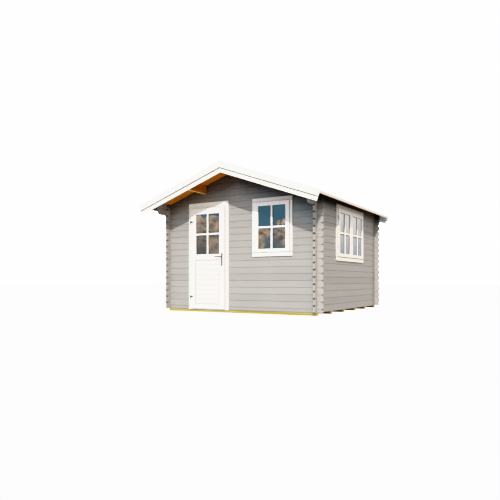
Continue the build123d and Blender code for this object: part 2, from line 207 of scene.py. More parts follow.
def tint(material, colour, share):
    """Mix a colour into a material's own, by a share worked out from the place on the object."""
    shader, under = painted(material)
    place = under.node("ShaderNodeTexCoord", {}, "Object")
    feed(shader, "Base Color", blend(share(*place.axes()), under, colour))


treated = timber("treated_spruce", "X", srgb(146, 126, 56), srgb(185, 170, 100), srgb(104, 84, 38))
bearer_low, bearer_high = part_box("bearers")
bearer_end = bearer_high.x - 0.001
lit_reach = 0.11
first_face = bearer_low.y + 0.004


def under_floor_shade(x, y, z):
    """Painted shade under the shed: dark behind the first bearer's face, fading towards the sawn ends."""
    return (y > first_face) * spread(abs(x), bearer_high.x - lit_reach, bearer_end, 0.9, 0.35)


# Painted shade darkens the bearers under the floor.
tint(treated, srgb(24, 18, 8), under_floor_shade)
# Painted highlight: the bearers' sawn ends are lighter, where light catches them.
tint(treated, srgb(216, 198, 128), lambda x, y, z: (abs(x) > bearer_end) * 0.5)
repaint(treated, "bearers")


# Floor
# Tongued floorboards are nailed across the bearers inside the walls.
# They are planed spruce, laid from front to back, with an eased edge at each joint.

class Tree:
    """A geometry node tree with named inputs, and the wires of those inputs."""

    def __init__(self, name, inputs):
        self.group = bpy.data.node_groups.new(name, "GeometryNodeTree")
        interface = self.group.interface
        interface.new_socket("Geometry", in_out="INPUT", socket_type="NodeSocketGeometry")
        interface.new_socket("Geometry", in_out="OUTPUT", socket_type="NodeSocketGeometry")
        for label, kind in inputs.items():
            interface.new_socket(label, in_out="INPUT", socket_type="NodeSocket" + kind)
        entry = self.group.nodes.new("NodeGroupInput")
        self.inputs = {socket.name: Wire(self.group, socket) for socket in entry.outputs if socket.name}
        self.start = self.inputs["Geometry"]

    def end(self, wire):
        """Realize the instances, set the material and close the tree."""
        whole = wire.node("GeometryNodeRealizeInstances", {"Geometry": wire})
        skin = {"Geometry": whole, "Material": self.inputs["Material"]}
        done = whole.node("GeometryNodeSetMaterial", skin)
        self.group.links.new(done.socket, self.group.nodes.new("NodeGroupOutput").inputs[0])

    def grow(self, name, body, slot, places=(), **values):
        """Run the tree on a mesh of loose points and keep its result as a plain piece."""
        seed = bpy.data.meshes.new(name + "_seed")
        seed.from_pydata([tuple(place) for place in places], [], [])
        holder = bpy.data.objects.new(name + "_seed", seed)
        bpy.context.scene.collection.objects.link(holder)
        modifier = holder.modifiers.new("grow", "NODES")
        modifier.node_group = self.group
        for item in self.group.interface.items_tree:
            if item.in_out == "INPUT" and item.name in values:
                modifier[item.identifier] = values[item.name]
        evaluated = holder.evaluated_get(bpy.context.evaluated_depsgraph_get())
        mesh = bpy.data.meshes.new_from_object(evaluated)
        holder.modifiers.remove(modifier)
        bpy.data.objects.remove(holder)
        mesh.name = name
        mesh.materials.clear()
        mesh.materials.append(values["Material"])
        return place_piece(name, mesh, body)


def place_piece(name, mesh, body):
    """Put a finished mesh in the scene as a piece that rides on a body."""
    made = bpy.data.objects.new(name, mesh)
    bpy.context.scene.collection.objects.link(made)
    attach(made, body)
    return made


def board_tree():
    """A row of boards with eased edges, each a little different in tone, sheared to a roof's fall."""
    sizes = dict.fromkeys(("Length", "Width", "Thickness", "Ease", "Pitch", "Fall", "Turn"), "Float")
    others = {"Count": "Int", "Place": "Vector", "Seed": "Int", "Material": "Material"}
    tree = Tree("board_row", {**sizes, **others})
    get = tree.inputs
    start = tree.start
    profile = start.node(
        "GeometryNodeCurvePrimitiveQuadrilateral", {"Width": get["Width"], "Height": get["Thickness"]}
    )
    rounding = {"Curve": profile, "Radius": get["Ease"], "Count": 1}
    eased = start.node("GeometryNodeFilletCurve", rounding, mode="POLY")
    far = start.node("ShaderNodeCombineXYZ", {0: get["Length"]})
    spine = start.node("GeometryNodeCurvePrimitiveLine", {"End": far})
    upright = start.node("GeometryNodeSetCurveNormal", {"Curve": spine}, mode="Z_UP")
    sweep = {"Curve": upright, "Profile Curve": eased, "Fill Caps": True}
    board = start.node("GeometryNodeCurveToMesh", sweep)
    step = start.node("ShaderNodeCombineXYZ", {1: get["Pitch"]})
    row = start.node("GeometryNodeMeshLine", {"Count": get["Count"], "Offset": step})
    boards = start.node("GeometryNodeInstanceOnPoints", {"Points": row, "Instance": board})
    tone = start.node("FunctionNodeRandomValue", {"Seed": get["Seed"]}, output=1, data_type="FLOAT")
    toned = start.node(
        "GeometryNodeStoreNamedAttribute", {"Geometry": boards, "Name": "tone", "Value": tone},
        data_type="FLOAT", domain="INSTANCE",
    )
    whole = start.node("GeometryNodeRealizeInstances", {"Geometry": toned})
    where = start.node("GeometryNodeInputPosition", {})
    drop = where.node("ShaderNodeCombineXYZ", {2: where.axes()[0] * get["Fall"]})
    sheared = whole.node("GeometryNodeSetPosition", {"Geometry": whole, "Offset": drop})
    spin = start.node("ShaderNodeCombineXYZ", {2: get["Turn"]})
    moved = start.node(
        "GeometryNodeTransform", {"Geometry": sheared, "Translation": get["Place"], "Rotation": spin}
    )
    tree.end(moved)
    return tree


def board_timber(name, along, dark, light, knot, roughness=0.62):
    """Timber whose boards each take their own tone."""
    material = timber(name, along, dark, light, knot, roughness)
    shader, colour = painted(material)
    tone = colour.node("ShaderNodeAttribute", {}, output=2, attribute_name="tone")
    feed(shader, "Base Color", blend(tone * 0.32, colour, dark))
    return material


board_row = board_tree()
floor_low, floor_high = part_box("floor")
floorboard_cover = 0.092
floorboard_ease = 0.0015
floorboard_joint = 0.0008
floor_count = round((floor_high.x - floor_low.x) / floorboard_cover)
floor_pitch = (floor_high.x - floor_low.x) / floor_count
floor_spruce = board_timber("floor_spruce", "Y", srgb(176, 132, 82), srgb(214, 178, 126), srgb(112, 68, 36))
floorboards = board_row.grow(
    "floorboards", "cabin", "bare_spruce", Length=floor_high.y - floor_low.y,
    Width=floor_pitch - floorboard_joint, Thickness=floor_high.z - floor_low.z, Ease=floorboard_ease,
    Count=floor_count, Pitch=floor_pitch, Fall=0.0, Turn=pi / 2, Seed=3, Material=floor_spruce,
    Place=(floor_high.x - floor_pitch / 2, floor_low.y, (floor_low.z + floor_high.z) / 2),
)
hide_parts("floor")


# Log walls
# Planed spruce logs are stacked with a V-groove at each joint and lapped where they cross.
# Outside they are painted matt grey along with their ends, and inside they are bare.

half_width = bearer_high.x
front_y = bearer_low.y
back_y = bearer_high.y
log_pitch = 0.114
log_thickness = 0.028
log_end = 0.1
end_bevel = 0.03
end_bevel_height = 0.012
deck_low, deck_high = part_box("roof_deck_right")
ridge_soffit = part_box("purlins")[1].z
roof_fall = (ridge_soffit - deck_low.z) / deck_high.x
# The side walls' grey is a little darker than the front and back walls' grey, a painted shade on the sides.
log_greys = {
    "X": (srgb(155, 151, 147), srgb(162, 158, 153)),
    "Y": (srgb(146, 141, 137), srgb(152, 147, 142)),
}


def gable_shade(paint, x, y, below_roof):
    """Painted shade on the front gable under the overhang: warm at the left, cool at the right, dark at the
    roof.
    """
    front = (abs(x) < half_width - log_thickness) * (y < 0.0)
    rightwards = spread(x, -0.3, 0.6)
    cool = spread(below_roof, 0.45, 0.6, 0.8, 0.0) * rightwards
    paint = blend(cool * front, paint, srgb(148, 158, 160))
    warm = spread(below_roof, 0.3, 0.6, 0.6, 0.0) * (1.0 - rightwards)
    paint = blend(warm * front, paint, srgb(156, 152, 146))
    dusk = blend(rightwards, srgb(50, 50, 42), srgb(46, 57, 63))
    dimming = spread(below_roof, 0.2, 0.48, 1.0, 0.0) * spread(x, -1.0, 0.2, 0.12, 0.76)
    paint = blend(dimming * front, paint, dusk)
    tucked_in = spread(below_roof, 0.02, 0.28, 1.0, 0.0) * spread(x, -1.0, 0.2, 0.75, 0.55)
    return blend(tucked_in * front, paint, srgb(40, 32, 24))


def side_shade(paint, y, below_roof, from_end):
    """Painted shade on a side wall: dark under the eave and behind the log ends, less so towards the back."""
    between_ends = from_end > log_end
    rearwards = spread(y, 0.2, 1.5)
    under_eave = spread(below_roof, 0.08, 0.23, 0.95, 0.0) * (1.0 - rearwards * 0.3)
    paint = blend(under_eave * between_ends, paint, srgb(22, 19, 16))
    behind_ends = spread(from_end, log_end + log_thickness, log_end + 0.2, 0.75, 0.0)
    behind_ends = behind_ends * (1.0 - rearwards * 0.55)
    return blend(behind_ends * between_ends, paint, srgb(62, 60, 57))


def log_paint(name, along, first_joint):
    """Grey paint on planed logs: grain telegraphs through it, each log differs, and joints hold dirt; the log
    ends past the wall are lighter, and painted shade darkens their notches, the log ends under the roof, the
    gable under the overhang and the side walls under the eave.
    """
    material, shader, place = new_finish(name)
    x, y, z = place.axes()
    course = (z - first_joint) / log_pitch
    level = course.calc("FLOOR", course, 0.0)
    tone = level.node("ShaderNodeTexWhiteNoise", {"W": level}, noise_dimensions="1D")
    from_joint = abs((z - first_joint + log_pitch / 2) % log_pitch - log_pitch / 2)
    groove = spread(from_joint, 0.002, 0.0065, 1.0, 0.0)
    bands = noise(place, turned((1.1, 46.0, 46.0), along), 4.0, 0.6)
    pores = noise(place, turned((7.0, 380.0, 380.0), along), 2.0, 0.7)
    cloud = noise(place, (2.2, 2.2, 3.5), 3.0, 0.5)
    paint = blend(tone, *log_greys[along])
    paint = blend(spread(bands, 0.35, 0.7, 0.0, 0.2), paint, srgb(166, 161, 155))
    paint = blend(spread(cloud, 0.4, 0.75, 0.0, 0.22), paint, srgb(143, 140, 136))
    paint = blend(groove * 0.12, paint, srgb(84, 81, 78))
    if along == "X":
        from_end = half_width + log_end - abs(x)
    else:
        from_end = (back_y - front_y) / 2 + log_end - abs(y - (front_y + back_y) / 2)
    past_wall = (from_end > -0.002) * (from_end < log_end - 0.003)
    paint = blend(past_wall * 0.5, paint, srgb(180, 175, 168))
    # Painted shade in the notches between the bevelled log ends.
    notch_shade = spread(from_joint / end_bevel_height + from_end / end_bevel, 1.05, 1.25, 1.0, 0.0)
    paint = blend(notch_shade * past_wall * 0.9, paint, srgb(42, 41, 40))
    below_roof = ridge_soffit - abs(x) * roof_fall - z
    if along == "X":
        paint = gable_shade(paint, x, y, below_roof)
        # Painted shade on the log ends under the front roof.
        paint = blend(spread(below_roof, 0.08, 0.3, 0.93, 0.0) * past_wall, paint, srgb(22, 21, 19))
    else:
        # Painted shade on the log ends under the eave.
        paint = blend(spread(below_roof, 0.02, 0.12, 0.8, 0.0) * past_wall, paint, srgb(26, 23, 19))
        paint = side_shade(paint, y, below_roof, from_end)
    wall = half_width - log_thickness / 2
    indoors = (abs(x) < wall) * (y > front_y + log_thickness / 2) * (y < back_y - log_thickness / 2)
    bare = blend(spread(bands, 0.35, 0.68), srgb(186, 140, 88), srgb(222, 186, 132))
    bare = blend(knots(place, turned((1.7, 8.0, 8.0), along), 0.7), bare, srgb(120, 70, 36))
    bare = blend(groove * 0.5, bare, srgb(110, 74, 42))
    feed(shader, "Base Color", blend(indoors, paint, bare))
    feed(shader, "Roughness", spread(pores, 0.3, 0.8, 0.5, 0.66) + groove * 0.15)
    bump(shader, bands * 0.5 + pores * 0.5, 0.3, 0.001)
    return material


side_logs = log_paint("grey_paint_side_logs", "Y", bearer_high.z)
front_logs = log_paint("grey_paint_front_logs", "X", bearer_high.z + log_pitch / 2)
repaint(
    front_logs, "front_wall_left", "front_wall_below_window", "front_wall_pier", "front_wall_right",
    "front_gable", "back_wall", "back_gable",
)
repaint(
    side_logs, "right_wall_below_window", "right_wall_front_pier", "right_wall_back_pier",
    "right_wall_corbel", "right_wall_top", "left_wall", "left_wall_top",
)


# Purlins
# A ridge purlin and two side purlins run from gable to gable and out under the front overhang.
# They are squared spruce with a honey-brown stain.

stain_dark = srgb(192, 104, 38)
stain_light = srgb(238, 152, 72)
stain_knot = srgb(122, 60, 20)
purlin_stain = timber("stained_purlins", "Y", srgb(150, 74, 24), srgb(196, 112, 44), stain_knot)
purlin_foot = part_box("purlins")[0].z + 0.003
# Painted light: the purlins' undersides are lighter, standing in for light from below.
tint(purlin_stain, srgb(255, 200, 120), lambda x, y, z: (z < purlin_foot) * 0.95)
repaint(purlin_stain, "purlins")


# Roof boards
# Tongued boards run from the ridge to the eave on each slope, nailed to the purlins and walls.
# They are stained like the purlins and show their eased joints under the overhangs.

roof_stain = board_timber("stained_roof_boards", "X", stain_dark, stain_light, stain_knot)
# Painted shade: the roof boards turn dark past the wall's face, in the eave overhang.
eave_painted_shade = (half_width - 0.04, half_width + 0.03)
tint(roof_stain, srgb(30, 21, 12), lambda x, y, z: spread(abs(x), *eave_painted_shade, 0.0, 0.92))
roof_cover = 0.0948
roof_ease = 0.003
roof_count = round((deck_high.y - deck_low.y) / roof_cover)
roof_pitch = (deck_high.y - deck_low.y) / roof_count
roof_rise = deck_high.z - ridge_soffit
for side, start_x, fall in (("left", -deck_high.x, roof_fall), ("right", 0.0, -roof_fall)):
    eave_drop = roof_fall * deck_high.x if side == "left" else 0.0
    boards = board_row.grow(
        f"roof_boards_{side}", "cabin", "bare_spruce", Length=deck_high.x, Width=roof_pitch,
        Thickness=roof_rise, Ease=roof_ease, Count=roof_count, Pitch=roof_pitch, Fall=fall, Turn=0.0,
        Place=(start_x, deck_low.y + roof_pitch / 2, ridge_soffit + roof_rise / 2 - eave_drop), Seed=11,
        Material=roof_stain,
    )
    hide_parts(f"roof_deck_{side}")


# Roofing felt
# Strips of mineral felt lie along each slope, the upper over the lower, with a strip over the ridge.
# The felt is bitumen with slate granules, nailed along its edges and laps.

felt_thickness = 0.003
felt_width = 1.0
felt_ridge = 0.16
felt_columns = 72
felt_rows = 10
ripple_height = 0.0011
felt_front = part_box("front_cover_board_right")[1].y
felt_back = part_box("back_cover_board_right")[0].y


def felt_finish():
    """Slate granules in bitumen: grit and pale flecks, with weathered patches."""
    material, shader, place = new_finish("slate_felt")
    grit = noise(place, 900.0, 2.0, 0.6)
    flecks = place.node("ShaderNodeTexVoronoi", {"Vector": place, "Scale": 420.0})
    patches = noise(place, (1.6, 1.1, 1.6), 3.0, 0.55)
    colour = blend(spread(grit, 0.3, 0.7), srgb(52, 54, 58), srgb(96, 98, 102))
    colour = blend(spread(flecks, 0.1, 0.3, 0.5, 0.0), colour, srgb(150, 150, 150))
    colour = blend(spread(patches, 0.4, 0.7, 0.0, 0.35), colour, srgb(66, 64, 62))
    feed(shader, "Base Color", colour)
    feed(shader, "Roughness", spread(grit, 0.2, 0.8, 0.82, 0.98))
    bump(shader, grit, 0.6, 0.0012)
    return material


def ripple(along, across):
    """Low waves that felt keeps after it is unrolled."""
    return ripple_height * (sin(along * 5.3 + across * 3.1) + sin(along * 11.7 - across * 4.3) + 2.0) / 2


def felt_strip(mesh, side, low_run, high_run, lift):
    """A strip on one slope between two distances from the ridge line, measured level."""
    rows = []
    for row in range(felt_rows + 1):
        run = low_run + (high_run - low_run) * row / felt_rows
        line = []
        for column in range(felt_columns + 1):
            y = felt_front + (felt_back - felt_front) * column / felt_columns
            base = ridge_soffit + roof_rise - run * roof_fall + lift
            top = base + felt_thickness + ripple(y, run)
            line.append([mesh.verts.new((side * run, y, z)) for z in (base, top)])
        rows.append(line)
    for row in range(felt_rows):
        for column in range(felt_columns):
            corners = ((row, column), (row, column + 1), (row + 1, column + 1), (row + 1, column))
            for layer in (0, 1):
                mesh.faces.new([rows[r][c][layer] for r, c in corners])
    rim = [(r, 0) for r in range(felt_rows)] + [(felt_rows, c) for c in range(felt_columns)]
    rim += [(r, felt_columns) for r in range(felt_rows, 0, -1)] + [(0, c) for c in range(felt_columns, 0, -1)]
    for (r1, c1), (r2, c2) in zip(rim, rim[1:] + rim[:1]):
        mesh.faces.new([rows[r1][c1][0], rows[r2][c2][0], rows[r2][c2][1], rows[r1][c1][1]])


def mesh_piece(name, mesh, material, body, wound=False):
    """A finished bmesh as a piece, with its faces turned outwards unless they are wound so already."""
    bmesh.ops.remove_doubles(mesh, verts=mesh.verts, dist=1e-6)
    if not wound:
        bmesh.ops.recalc_face_normals(mesh, faces=mesh.faces)
    data = bpy.data.meshes.new(name)
    mesh.to_mesh(data)
    mesh.free()
    data.materials.append(material)
    return place_piece(name, data, body)


felt = felt_finish()
felt_setback = 0.012
felt_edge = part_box("eave_boards")[1].x - felt_setback
felt_lap = 0.09
felt_step = felt_thickness + ripple_height * 2
felt_lap_edge = felt_edge - felt_width + felt_lap
felt_strips = (
    ("lower", felt_edge - felt_width, felt_edge), ("upper", 0.0, felt_lap_edge), ("ridge", 0.0, felt_ridge),
)
for side, direction in (("left", -1), ("right", 1)):
    for layer, (label, low_run, high_run) in enumerate(felt_strips):
        strip = bmesh.new()
        felt_strip(strip, direction, low_run, high_run, felt_step * layer)
        mesh_piece(f"felt_{label}_{side}", strip, felt, "cabin")


def stud_tree():
    """A row of round heads, each with a small cross on top, set on loose points and turned one way."""
    inputs = {"Radius": "Float", "Height": "Float", "Facing": "Vector", "Material": "Material"}
    tree = Tree("stud_heads", inputs)
    get = tree.inputs
    start = tree.start
    head = start.node("GeometryNodeMeshCone", {
        "Vertices": 12, "Radius Top": get["Radius"] * 0.7, "Radius Bottom": get["Radius"],
        "Depth": get["Height"],
    })
    arms = []
    for long_axis in (0, 1):
        reach = {0: get["Radius"] * 0.2, 1: get["Radius"] * 0.2, 2: get["Height"] * 0.3}
        reach[long_axis] = get["Radius"] * 0.95
        arm = start.node("GeometryNodeMeshCube", {"Size": start.node("ShaderNodeCombineXYZ", reach)})
        lift = start.node("ShaderNodeCombineXYZ", {2: get["Height"]})
        arms.append(start.node("GeometryNodeTransform", {"Geometry": arm, "Translation": lift}))
    stud = start.node("GeometryNodeJoinGeometry", {})
    for part in (head, *arms):
        tree.group.links.new(part.socket, stud.socket.node.inputs[0])
    points = start.node("GeometryNodeMeshToPoints", {"Mesh": start})
    set_in = {"Points": points, "Instance": stud, "Rotation": get["Facing"]}
    tree.end(start.node("GeometryNodeInstanceOnPoints", set_in))
    return tree


def zinc_finish():
    """Hot-dip zinc, with its spangle."""
    material, shader, place = new_finish("galvanised_zinc")
    spangle = place.node("ShaderNodeTexVoronoi", {"Vector": place, "Scale": 900.0})
    feed(shader, "Base Color", blend(spread(spangle, 0.1, 0.6), srgb(126, 130, 134), srgb(168, 171, 174)))
    feed(shader, "Roughness", spread(spangle, 0.1, 0.6, 0.34, 0.52))
    shader.inputs["Metallic"].default_value = 0.9
    return material


studs = stud_tree()
zinc = zinc_finish()
nail_size = {"Radius": 0.005, "Height": 0.0012}
nail_spacing = 0.15
nail_margin = 0.03
felt_slope = atan(roof_fall)
nailed_length = felt_back - felt_front - 2 * nail_margin
nail_count = round(nailed_length / nail_spacing)
nail_rows = ((felt_ridge, felt_step * 3), (felt_lap_edge, felt_step * 2), (felt_edge, felt_step))
for side, direction in (("left", -1), ("right", 1)):
    places = []
    for edge, lift in nail_rows:
        run = edge - nail_margin
        height = ridge_soffit + roof_rise - run * roof_fall + lift - ripple_height
        for number in range(nail_count + 1):
            along = felt_front + nail_margin + nailed_length * number / nail_count
            places.append((direction * run, along, height))
    studs.grow(
        f"felt_nails_{side}", "cabin", None, places, Facing=(0.0, direction * felt_slope, 0.0), Material=zinc,
        **nail_size,
    )


# Eave boards
# A narrow board closes the board ends along each eave, with a drip strip nailed to its top.
# The board is planed spruce and the strip is folded sheet steel, both in white paint, laid down beige as
# painted shade, the strip a little lighter than the board.

def trim_paint(name, along, base, shade, joints=None, lines=()):
    """White paint on planed timber: faint grain, brush marks, dust in joints, and painted shade along edge
    lines beside gaps.
    """
    material, shader, place = new_finish(name)
    bands = noise(place, turned((0.9, 60.0, 60.0), along), 3.0, 0.6)
    brush = noise(place, turned((5.0, 520.0, 520.0), along), 2.0, 0.6)
    dust = noise(place, (3.0, 3.0, 5.0), 4.0, 0.6)
    colour = blend(spread(bands, 0.4, 0.72, 0.0, 0.35), base, shade)
    colour = blend(spread(dust, 0.5, 0.8, 0.0, 0.4), colour, shade)
    axes = place.axes()
    if joints:
        first, pitch = joints
        from_joint = abs((axes[2] - first + pitch / 2) % pitch - pitch / 2)
        colour = blend(spread(from_joint, 0.001, 0.0055, 0.75, 0.0), colour, srgb(176, 160, 144))
    # Painted shade along each edge line beside a gap.
    for axis, at, strength in lines:
        from_line = abs(axes[axis] - at)
        colour = blend(spread(from_line, 0.004, 0.008, strength, 0.0), colour, srgb(186, 162, 142))
    feed(shader, "Base Color", colour)
    feed(shader, "Roughness", spread(brush, 0.3, 0.8, 0.36, 0.52))
    bump(shader, bands * 0.4 + brush * 0.6, 0.18, 0.0008)
    return material


def skin(mesh, loops, capped=True):
    """Faces between loops of points that follow one another, and over the first and last."""
    for loop, following in zip(loops, loops[1:]):
        for point in range(len(loop)):
            after = (point + 1) % len(loop)
            mesh.faces.new([loop[point], loop[after], following[after], following[point]])
    if capped:
        mesh.faces.new(loops[0][::-1])
        mesh.faces.new(loops[-1])


white = srgb(251, 250, 247)
white_shade = srgb(241, 237, 231)
# Painted shade: the eave board's white paint is beige, the drip strip a little lighter.
eave_shaded_paint = trim_paint("eave_shaded_paint", "Y", srgb(218, 204, 192), srgb(200, 184, 170))
repaint(eave_shaded_paint, "eave_boards")
drip_shaded_paint = trim_paint("eave_drip_shaded_paint", "Y", srgb(234, 225, 216), srgb(222, 211, 200))
eave_low, eave_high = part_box("eave_boards")
drip_face = 0.013
drip_flange = 0.045
drip_thickness = 0.0015
drip_lip = 0.011
drip_top = ridge_soffit + roof_rise - eave_high.x * roof_fall
drip_rise = drip_top + drip_flange * roof_fall
inner = eave_high.x - drip_flange
outer = eave_high.x + drip_thickness
lip = eave_high.x - drip_thickness
drip_outline = (
    (inner, drip_rise), (eave_high.x, drip_top), (eave_high.x, drip_top - drip_face),
    (outer, drip_top - drip_face), (outer, drip_top + drip_lip), (lip, drip_top + drip_lip),
    (lip, drip_top + drip_thickness * 2), (inner, drip_rise + drip_thickness),
)
for side, direction in (("left", -1), ("right", 1)):
    strip = bmesh.new()
    ends = (eave_low.y, eave_high.y)
    skin(strip, [[strip.verts.new((direction * x, y, z)) for x, z in drip_outline] for y in ends])
    mesh_piece(f"eave_drip_{side}", strip, drip_shaded_paint, "cabin")


# Bargeboards
# A broad board and a narrower cover board trim each gable slope, meeting plumb at the ridge.
# They are planed spruce, painted white, and screwed to the purlin ends and each other.

slope_paint = trim_paint("gable_trim_paint", "X", white, white_shade)
cover_foot = -0.065
cover_crest = 0.034
cover_shadow_depth = 0.016


def above_soffit(x, z):
    """Distance square to the slope, up from the soffit."""
    return (z - ridge_soffit + abs(x) * roof_fall) * cos(felt_slope)


def cover_shadow_line(x, y, z):
    """Painted shadow along a bargeboard, close under its cover board's foot."""
    under_cover = cover_foot - above_soffit(x, z)
    return spread(under_cover, cover_shadow_depth, cover_shadow_depth + 0.003, 0.7, 0.0) * (under_cover > -0.002)


# Painted shadow under each cover board's foot.
tint(slope_paint, srgb(150, 134, 118), cover_shadow_line)
tint(
    slope_paint, srgb(214, 196, 180),
    lambda x, y, z: spread(above_soffit(x, z), cover_crest - 0.013, cover_crest - 0.009, 0.0, 0.8),
)
for end in ("front", "back"):
    for side in ("left", "right"):
        repaint(slope_paint, f"{end}_bargeboard_{side}", f"{end}_cover_board_{side}")


# Door frame
# Two jambs, a head and a sill grip the log ends of the doorway between casings inside and out.
# They are spruce, painted white.

leaf_low, leaf_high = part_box("door_stiles")
leaf_gap = 0.0025
left_shade_line_offset = 0.025
# Painted shade lines on the door frame beside the leaf's sides and over its top.
leaf_sides = ((0, leaf_low.x - left_shade_line_offset, 0.4), (0, leaf_high.x + leaf_gap, 0.4))
leaf_top = ((2, leaf_high.z + leaf_gap, 0.8),)
upright_paint = trim_paint("upright_trim_paint", "Z", white, white_shade, lines=leaf_sides)
level_paint = trim_paint("level_trim_paint", "X", white, white_shade, lines=leaf_top)
shade_start = 1.735
shade_edge = 0.04
shade_climb = 0.266


def under_overhang(x, y, z):
    """The part of the doorway that the roof shades, above a line that climbs to the right."""
    height = z - (x - leaf_low.x) * shade_climb
    return spread(height, shade_start, shade_start + shade_edge, 0.0, 0.75)


# Painted shade: in the roof's shade over the doorway the white is tinted warmer.
for paint in (upright_paint, level_paint):
    tint(paint, srgb(253, 253, 236), under_overhang)
repaint(upright_paint, "door_jambs")
repaint(level_paint, "door_head", "door_sill")


# Door leaf
# Stiles and rails frame a panel of level boards below and a glazed opening above.
# The leaf is spruce, painted white, with beads round the glass and a cross of glazing bars.

def on_front(x, z, out):
    """A point on the front wall, by its distance out from the logs' face."""
    return Vector((x, front_y - out, z))


def on_right(y, z, out):
    """A point on the right-hand wall, by its distance out from the logs' face."""
    return Vector((half_width + out, y, z))


def standing(node):
    """How far the outer and inner faces of a node in the front wall stand out from the logs' face."""
    low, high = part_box(node)
    return front_y - low.y, front_y - high.y


def ring(mesh, wall, edges, profile):
    """A mitred frame: a closed profile of (inset, distance out) points run round a rectangle."""
    left, right, low, high = edges
    corners = ((left, low, 1, 1), (right, low, -1, 1), (right, high, -1, -1), (left, high, 1, -1))
    loops = []
    for along, up, step_along, step_up in corners:
        points = [wall(along + step_along * inset, up + step_up * inset, out) for inset, out in profile]
        loops.append([mesh.verts.new(point) for point in points])
    skin(mesh, loops + loops[:1], capped=False)


def block(mesh, wall, edges, back, front, chamfer):
    """A bar or plate with its front edges chamfered; front may lie either way from back."""
    left, right, low, high = edges
    shoulder = front - chamfer if front > back else front + chamfer
    layers = []
    for inset, out in ((0.0, back), (0.0, shoulder), (chamfer, front)):
        points = (
            (left + inset, low + inset), (right - inset, low + inset),
            (right - inset, high - inset), (left + inset, high - inset),
        )
        layers.append([mesh.verts.new(wall(along, up, out)) for along, up in points])
    skin(mesh, layers)


bead_width = 0.012
bead_setback = 0.003
bar_width = 0.032
bar_depth = 0.012
bar_chamfer = 0.006
gasket_shade_rise = 0.0015


def lights(edges):
    """The spans along and the spans up that beads and a cross of bars leave of a pane."""
    left, right, low, high = edges
    middle = (left + right) / 2
    centre = (low + high) / 2
    spans = ((left + bead_width, middle - bar_width / 2), (middle + bar_width / 2, right - bead_width))
    rises = ((low + bead_width, centre - bar_width / 2), (centre + bar_width / 2, high - bead_width))
    return spans, rises


def gasket_shade_strips(mesh, wall, edges, glass_out, widths):
    """The brown strips that bed each of the four panes, broad on the side whose reveal they darken as painted
    shade; widths are for its left, right, foot and top.
    """
    near, far, foot, head = widths
    spans, rises = lights(edges)
    for start, stop in spans:
        for bottom, top in rises:
            strips = (
                (start, start + near, bottom, top), (stop - far, stop, bottom, top),
                (start + near, stop - far, bottom, bottom + foot),
                (start + near, stop - far, top - head, top),
            )
            for strip in strips:
                block(mesh, wall, strip, glass_out, glass_out + gasket_shade_rise, 0.0005)


def glazing(mesh, wall, edges, glass, faces):
    """Beads round a pane and a cross of bars on both sides of it."""
    spans, rises = lights(edges)
    for pane, face, step in zip(glass, faces, (-1, 1)):
        lip = face + step * bead_setback
        toe = (pane + lip) / 2
        bead = [(0.0, pane), (0.0, lip), (bead_width / 3, lip), (bead_width, toe), (bead_width, pane)]
        ring(mesh, wall, edges, bead)
        upright = (spans[0][1], spans[1][0], rises[0][0], rises[1][1])
        levels = [(start, stop, rises[0][1], rises[1][0]) for start, stop in spans]
        for bar in (upright, *levels):
            block(mesh, wall, bar, pane, pane - step * bar_depth, bar_chamfer)


repaint(upright_paint, "door_stiles")
repaint(level_paint, "door_rails")
leaf_faces = standing("door_stiles")
pane_low, pane_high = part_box("door_glass")
pane_faces = standing("door_glass")
door_edges = (pane_low.x, pane_high.x, pane_low.z, pane_high.z)
door_bars = bmesh.new()
glazing(door_bars, on_front, door_edges, pane_faces, leaf_faces)
mesh_piece("door_glazing_bars", door_bars, upright_paint, "door")


def rubber_finish(name, dark, light):
    """Weather seal and glazing gasket: matt rubber with a dusty bloom, its dark brown standing partly as
    painted shade in gaps and reveals.
    """
    material, shader, place = new_finish(name)
    bloom = noise(place, 60.0, 4.0, 0.6)
    feed(shader, "Base Color", blend(spread(bloom, 0.35, 0.7), dark, light))
    feed(shader, "Roughness", spread(bloom, 0.3, 0.7, 0.62, 0.8))
    return material


# The gasket strips are brown rubber, and partly painted shade where a pane's reveal lies in shade.
gasket_shade_rubber = rubber_finish("brown_gasket_shade_rubber", srgb(72, 56, 42), srgb(96, 78, 62))
door_gasket_shade = bmesh.new()
front_strips = (0.014, 0.003, 0.004, 0.007)
gasket_shade_strips(door_gasket_shade, on_front, door_edges, pane_faces[0], front_strips)
mesh_piece("door_glazing_gasket_shade", door_gasket_shade, gasket_shade_rubber, "door")

panel_low, panel_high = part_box("door_panel")
panel_edges = (panel_low.x, panel_high.x, panel_low.z, panel_high.z)
panel_boards = 9
panel_joints = (panel_low.z, (panel_high.z - panel_low.z) / panel_boards)
repaint(trim_paint("door_panel_paint", "X", white, white_shade, joints=panel_joints), "door_panel")
mould_width = 0.014
mould_rise = 0.007
mouldings = bmesh.new()
for surface, step in zip(standing("door_panel"), (1, -1)):
    crown = surface + step * mould_rise
    profile = [(0.0, surface), (0.0, crown), (mould_width / 2, crown), (mould_width, surface)]
    ring(mouldings, on_front, panel_edges, profile)
# Painted shade: the panel mouldings are painted darker than the white round them.
moulding_shade_paint = trim_paint("door_moulding_shade_paint", "X", srgb(192, 178, 162), srgb(172, 156, 140))
mesh_piece("door_panel_mouldings", mouldings, moulding_shade_paint, "door")


# Glass
# Clear float glass closes the door and the sashes, bedded behind its beads.
# It is smooth, with a faint green body, and the sky's shine on its face is a painted reflection of sky and
# clouds that glows.

cloud_scale = (2.6, 2.6, 4.2)
window_end = 1.2
window_bar = 1.44
door_bar = 1.46


